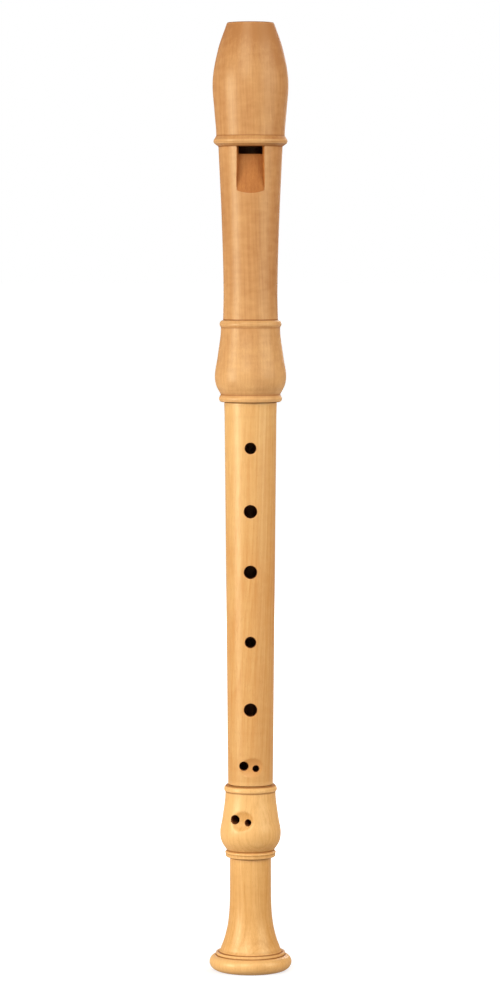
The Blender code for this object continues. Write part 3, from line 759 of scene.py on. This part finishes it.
headCuts = {  # how the cutters are made
    "over": 4,  # how far they stand out of the wood
    "archSteps": 32, "beakSteps": 48, "beakHalf": 23,
    "intoWindow": 2,  # where the cutter under the lip starts
    "rampSteps": 60, "rampPast": 1.3,  # it goes on past the ramp by this share
    "edgeSteps": 4, "leastEdge": 0.004, "wallShare": 0.4,  # of the wall, the most that its edge takes
    "aside": 0.5,  # from a cheek, where the wood's surface is measured
    "apart": 0.01,  # between points of an edge where the wall runs out
    "rampFlare": 0.05, "rampOver": 6,  # of the ramp's cutter, outside the wood
}


def archDrop(x):
    return head["arch"] - math.sqrt(head["arch"] ** 2 - x**2)


def archedLine(distance, half, height, way=1):
    line = []
    for step in range(headCuts["archSteps"] + 1):
        x = way * half * (2 * step / headCuts["archSteps"] - 1)
        line.append((x, archDrop(x) - distance, height))
    return line


def archedBar(name, stations, finish):
    rings = []
    for height, inner, outer, half in stations:
        rings.append(archedLine(inner, half, height) + archedLine(outer, half, height, -1))
    return lofted(name, rings, finish)


def windwayHalf(height):
    share = (height - head["window"]) / (head["tip"] - head["window"])
    return head["windwayHalf"] + head["windwayFlare"] * share


def windwayCutter():
    top, lip, window = head["tip"] + headCuts["over"], head["lip"], head["window"]
    chamferTop = window + head["chamfer"]
    inner = head["bore"] / 2
    return archedBar("windwayCutter", (
        (lip, inner, head["roof"] + head["chamfer"], head["windwayHalf"]),
        (window, inner, head["roof"] + head["chamfer"], head["windwayHalf"]),
        (chamferTop, inner, head["roof"], windwayHalf(chamferTop)),
        (top, inner, head["roof"], windwayHalf(top)),
    ), boreWood)


def rampRing(height, inner, half, radius):
    # the ramp's arched floor and the splayed cheeks, with softened outer edges
    floor = inner - archDrop(half)
    surface = math.sqrt(radius**2 - (half + headCuts["aside"]) ** 2)
    wall = surface - floor
    edge = max(headCuts["leastEdge"], min(head["edge"], headCuts["wallShare"] * wall))
    side = [(half, floor)]
    for step in range(headCuts["edgeSteps"] + 1):
        roll = math.pi / 2 * (1 - step / headCuts["edgeSteps"])
        depth = max(floor + headCuts["apart"] * (step + 1), surface - edge * (1 - math.cos(roll)))
        out = half + head["splay"] * max(0, wall) + edge * (1 - math.sin(roll))
        side.append((out, depth))
    out, depth = side[-1]
    side.append((out + headCuts["rampFlare"], max(surface, depth) + headCuts["rampOver"]))
    ring = archedLine(inner, half, height)[1:-1]
    return ring + [(x, -y, height) for x, y in side] + [(-x, -y, height) for x, y in side[::-1]]


def rampCutter(outside):
    lip, window, rampHeight = head["lip"], head["window"], head["rampHeight"]
    rise = (radiusAt(outside, lip - rampHeight) - head["lipTop"]) / rampHeight
    levels = [window]
    for step in range(headCuts["rampSteps"] + 1):
        levels.append(lip - rampHeight * headCuts["rampPast"] * step / headCuts["rampSteps"])
    rings = []
    for height in levels:
        drop = max(0, lip - height)
        half = head["windwayHalf"] + (head["rampHalf"] - head["windwayHalf"]) * drop / rampHeight
        radius = radiusAt(outside, height) if height < window else neckTop
        rings.append(rampRing(height, head["lipTop"] + rise * drop, half, radius))
    return lofted("rampCutter", rings, cutWood)


def reliefCutter():
    lip, inner, half = head["lip"], head["bore"] / 2, head["windwayHalf"]
    return archedBar("reliefCutter", (
        (lip + headCuts["intoWindow"], inner, head["underLip"], half), (lip, inner, head["underLip"], half),
        (lip - head["reliefHeight"], inner, head["underLip"] - head["relief"], half),
    ), boreWood)


def beakCutter(finish):
    over, steps, half = headCuts["over"], headCuts["beakSteps"], headCuts["beakHalf"]
    tip = Vector((head["beakLip"], head["tip"]))
    heel = Vector((head["beakHeel"], head["tip"] - head["beakHeight"]))
    chord = heel - tip
    inward = Vector((chord.y, -chord.x)).normalized()
    line = [tip - chord.normalized() * over]
    for step in range(steps + 1):
        t = step / steps
        line.append(tip + chord * t + inward * head["beakHollow"] * 4 * t * (1 - t))  # a parabola
    line += [Vector((heel.x + over, heel.y)), Vector((heel.x + over, tip.y + 2 * over))]
    return lofted("beakCutter", [[(x, y, z) for y, z in line] for x in (-half, half)], finish)


def makeHead():
    outside = followed(head["start"], head["moves"])
    inside = followed((head["socket"], head["start"][1]), (
        ("to", head["socket"], head["socketFloor"] - head["start"][1]), ("to", head["bore"], 0),
        ("to", head["bore"], head["window"] - head["socketFloor"]),
        ("to", head["boreAtTip"], head["tip"] - head["window"]),
    ))
    body = turnedBody("headJoint", refined(ringed(outside), []), inside, [headWood, boreWood])
    carve(body, [windwayCutter(), rampCutter(outside), reliefCutter(), beakCutter(headWood)])
    markRelief(body, outside)
    settled(body, "head", "head_joint")


block = {"gap": 0.06, "sides": 160}


def makeBlock():
    rings = []
    for height, floor, radius in (
        (head["window"], head["floor"] - head["chamfer"], head["bore"]),
        (head["window"] + head["chamfer"], head["floor"], head["bore"]),
        (head["tip"], head["floorAtTip"], head["boreAtTip"]),
    ):
        radius -= block["gap"]
        half = windwayHalf(height) - block["gap"]
        start = math.asin(half / radius)
        ring = archedLine(floor, half, height, -1)
        for step in range(block["sides"] + 1):
            turn = start + (math.tau - 2 * start) * step / block["sides"]
            ring.append((-radius * math.sin(turn), -radius * math.cos(turn), height))
        rings.append(ring)
    body = lofted("cedarBlock", rings, cedar)
    carve(body, [beakCutter(cedar)])
    settled(body, "block", "block")


makeFoot()
makeMiddle()
makeCorks()
makeHead()
makeBlock()


# Floor, light and camera

studio = {
    "ambient": 0.15,
    "floorHalf": 60000,  # millimetres, half its width
    "floorTones": (0.45, 0.47), "floorRough": 0.9,
    "floorNear": 0.66, "floorLift": 0.95,  # glow under the recorder and far from it
    "shadowReach": (0.06, 0.4),  # metres from the axis, between which the glow grows
    "lamps": (  # name, place, width, height, power in watts, the rest in metres
        ("leftLamp", (-1.1, -0.54, 0.36), 0.62, 0.68, 12.5),
        ("topLamp", (-0.75, -2.25, 1.75), 1.7, 1.7, 38),
        ("rightLamp", (1.08, -0.58, 0.7), 1.1, 1.1, 14),
        ("backLamp", (0.3, 1.9, 0.9), 1.2, 1.2, 22),
    ),
    "aim": (0, 0, 0.25),
}
camera = {  # metres, degrees, and millimetres for the lens
    "place": (-0.00025, -1.94, 0.36305), "pitch": -3.634, "lens": 138.29, "clip": (0.05, 50),
}
white = (1, 1, 1, 1)


def seenRays(tree):
    # 1 for what the camera sees, also in gloss and through glass
    path = tree.nodes.new("ShaderNodeLightPath")
    total = path.outputs["Is Camera Ray"]
    for name in ("Is Glossy Ray", "Is Transmission Ray"):
        either = tree.nodes.new("ShaderNodeMath")
        either.operation = "MAXIMUM"
        tree.links.new(total, either.inputs[0])
        tree.links.new(path.outputs[name], either.inputs[1])
        total = either.outputs[0]
    return total


def makeWorld():
    world = bpy.data.worlds.new("studio")
    world.use_nodes = True
    tree = world.node_tree
    light = tree.nodes["Background"]
    seen = tree.nodes.new("ShaderNodeBackground")
    either = tree.nodes.new("ShaderNodeMixShader")
    tree.links.new(seenRays(tree), either.inputs[0])
    for index, (background, strength) in enumerate(((light, studio["ambient"]), (seen, 1))):
        background.inputs[0].default_value = white
        background.inputs[1].default_value = strength
        tree.links.new(background.outputs[0], either.inputs[index + 1])
    tree.links.new(either.outputs[0], tree.nodes["World Output"].inputs[0])
    scene.world = world


def makeFloor():
    half = studio["floorHalf"]
    verts = [(-half, -half, 0), (half, -half, 0), (half, half, 0), (-half, half, 0)]
    nodes = Nodes("paleFloor")
    place = nodes.coordinates()
    pale, paler = ((tone, tone, tone, 1) for tone in studio["floorTones"])
    nodes.shade(Base_Color=nodes.blend(nodes.noise(place, (3, 3, 3)), pale, paler))
    nodes.shade(Roughness=studio["floorRough"], Specular_IOR_Level=0, Emission_Color=white)
    # the floor fades to plain white away from the recorder, so that its shadow stays
    away = nodes.add("VectorMath", {"operation": "LENGTH"}, in0=place).outputs["Value"]
    (near, far), dim, bright = studio["shadowReach"], studio["floorNear"], studio["floorLift"]
    ease = {"interpolation_type": "SMOOTHSTEP"}
    glow = nodes.add("MapRange", ease, in0=away, in1=near, in2=far, in3=dim, in4=bright).outputs[0]
    nodes.shade(Emission_Strength=nodes.times(seenRays(nodes.tree), glow))
    newObject("floor", verts, [(0, 1, 2, 3)], [nodes.material])


def makeLamps():
    for name, place, width, height, power in studio["lamps"]:
        data = bpy.data.lights.new(name, "AREA")
        data.shape = "RECTANGLE"
        data.size, data.size_y, data.energy = width, height, power
        lamp = bpy.data.objects.new(name, data)
        lamp.location = place
        aim = Vector(studio["aim"]) - Vector(place)
        lamp.rotation_euler = aim.to_track_quat("-Z", "Y").to_euler()
        scene.collection.objects.link(lamp)


def makeCamera():
    data = bpy.data.cameras.new("camera")
    data.lens = camera["lens"]
    data.clip_start, data.clip_end = camera["clip"]
    view = bpy.data.objects.new("camera", data)
    view.location = camera["place"]
    view.rotation_euler = (math.radians(90 + camera["pitch"]), 0, 0)
    scene.collection.objects.link(view)
    scene.camera = view


makeWorld()
makeFloor()
makeLamps()
makeCamera()
scene.view_settings.view_transform = "Standard"
print("studio made")
